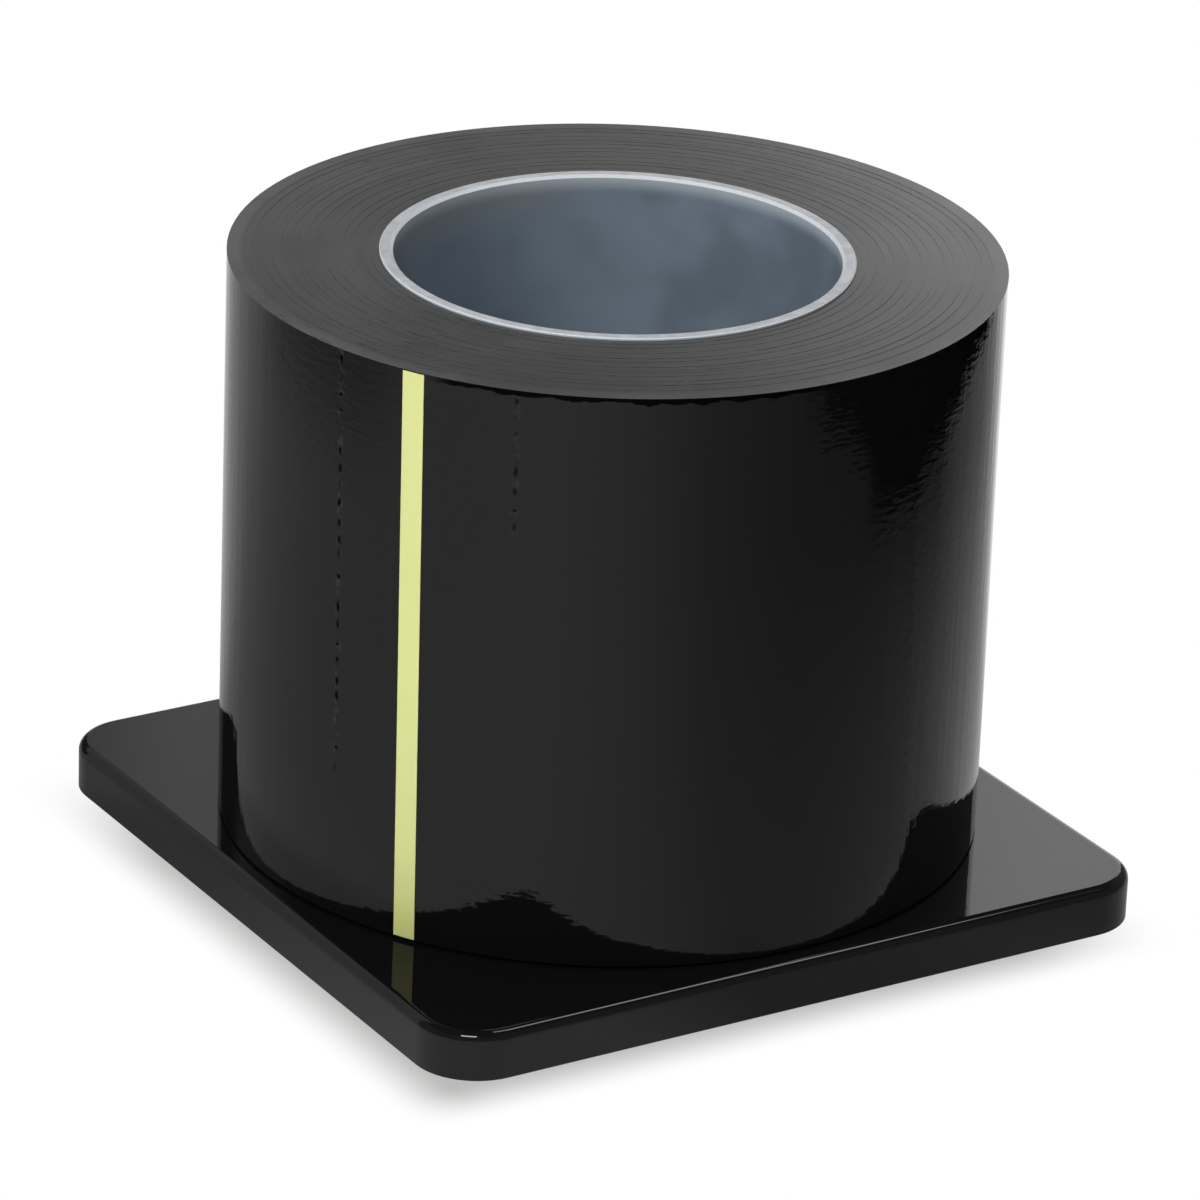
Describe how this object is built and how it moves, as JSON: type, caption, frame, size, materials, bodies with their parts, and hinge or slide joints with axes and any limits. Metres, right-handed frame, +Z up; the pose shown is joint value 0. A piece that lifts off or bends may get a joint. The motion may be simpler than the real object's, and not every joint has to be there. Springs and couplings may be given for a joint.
{
  "type": "barrier film roll",
  "caption": "Wide roll of black barrier film wound on a clear plastic core, standing on end and turning on the hub of a square black moulded base.",
  "frame": {"origin": "middle of the base's underside, on the roll's axis", "axes": "+Z up along the roll's axis; X and Y run along the square base's sides"},
  "size_m": [0.1396, 0.1396, 0.1111],
  "materials": {
    "base_plastic": "high-gloss black moulded plastic",
    "core_plastic": "milky clear extruded plastic, slightly blue",
    "film": "glossy black film on the side, satin cut edges on the ends",
    "strip_tape": "smooth pale yellow-green tape"
  },
  "bodies": {
    "base": {"base": "base_plastic"},
    "roll": {"core": "core_plastic", "film_roll": "film", "end_strip": "strip_tape"}
  },
  "joints": [
    {"name": "roll_spin", "type": "hinge", "parent": "base", "child": "roll", "pos_m": [0, 0, 0.0086], "axis": [0, 0, 1], "continuous": true}
  ]
}
